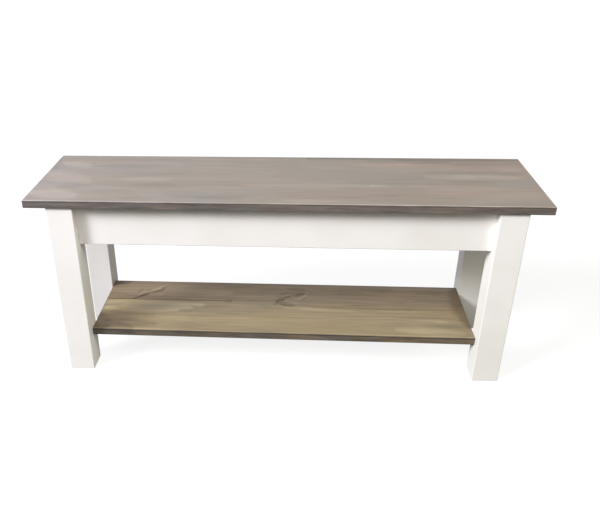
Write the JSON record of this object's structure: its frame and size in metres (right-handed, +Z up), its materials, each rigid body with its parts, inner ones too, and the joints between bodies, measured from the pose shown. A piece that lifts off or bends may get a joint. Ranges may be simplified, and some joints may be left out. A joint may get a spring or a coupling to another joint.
{
  "type": "shelf bench",
  "caption": "Long plain wooden bench with a flat stained seat on square painted legs, painted aprons under the seat and a low stained shelf between the legs.",
  "frame": {"origin": "on the floor, under the middle of the seat", "axes": "+X to the right along the bench as seen from its front, +Y to its back, +Z up"},
  "size_m": [1.194, 0.33, 0.47],
  "materials": {
    "top_stain": "grey-brown wiping stain under a thin satin topcoat, grain along the bench",
    "shelf_stain": "brown-grey stain under a thin satin topcoat, with knots and plain-sawn figure",
    "white_paint": "satin white paint on wood, faint brush marks",
    "screw_steel": "bright zinc-plated steel"
  },
  "bodies": {
    "root": {"top_board_front": "top_stain", "top_board_middle": "top_stain", "top_board_rear": "top_stain", "leg_front_left": "white_paint", "leg_front_right": "white_paint", "leg_rear_left": "white_paint", "leg_rear_right": "white_paint", "apron_front": "white_paint", "apron_rear": "white_paint", "apron_left": "white_paint", "apron_right": "white_paint", "shelf_board_front": "shelf_stain", "shelf_board_rear": "shelf_stain", "shelf_batten_left": "shelf_stain", "shelf_batten_right": "shelf_stain", "apron_front_screw_left_1": "screw_steel", "apron_front_screw_left_2": "screw_steel", "apron_front_screw_right_1": "screw_steel", "apron_front_screw_right_2": "screw_steel", "apron_rear_screw_left_1": "screw_steel", "apron_rear_screw_left_2": "screw_steel", "apron_rear_screw_right_1": "screw_steel", "apron_rear_screw_right_2": "screw_steel", "apron_left_screw_front_1": "screw_steel", "apron_left_screw_front_2": "screw_steel", "apron_left_screw_rear_1": "screw_steel", "apron_left_screw_rear_2": "screw_steel", "apron_right_screw_front_1": "screw_steel", "apron_right_screw_front_2": "screw_steel", "apron_right_screw_rear_1": "screw_steel", "apron_right_screw_rear_2": "screw_steel", "top_front_screw_1": "screw_steel", "top_front_screw_2": "screw_steel", "top_front_screw_3": "screw_steel", "top_rear_screw_1": "screw_steel", "top_rear_screw_2": "screw_steel", "top_rear_screw_3": "screw_steel", "top_left_screw": "screw_steel", "top_right_screw": "screw_steel", "shelf_front_screw_left_1": "screw_steel", "shelf_front_screw_left_2": "screw_steel", "shelf_front_screw_right_1": "screw_steel", "shelf_front_screw_right_2": "screw_steel", "shelf_rear_screw_left_1": "screw_steel", "shelf_rear_screw_left_2": "screw_steel", "shelf_rear_screw_right_1": "screw_steel", "shelf_rear_screw_right_2": "screw_steel", "batten_left_screw_front_1": "screw_steel", "batten_left_screw_front_2": "screw_steel", "batten_left_screw_rear_1": "screw_steel", "batten_left_screw_rear_2": "screw_steel", "batten_right_screw_front_1": "screw_steel", "batten_right_screw_front_2": "screw_steel", "batten_right_screw_rear_1": "screw_steel", "batten_right_screw_rear_2": "screw_steel"}
  },
  "joints": []
}
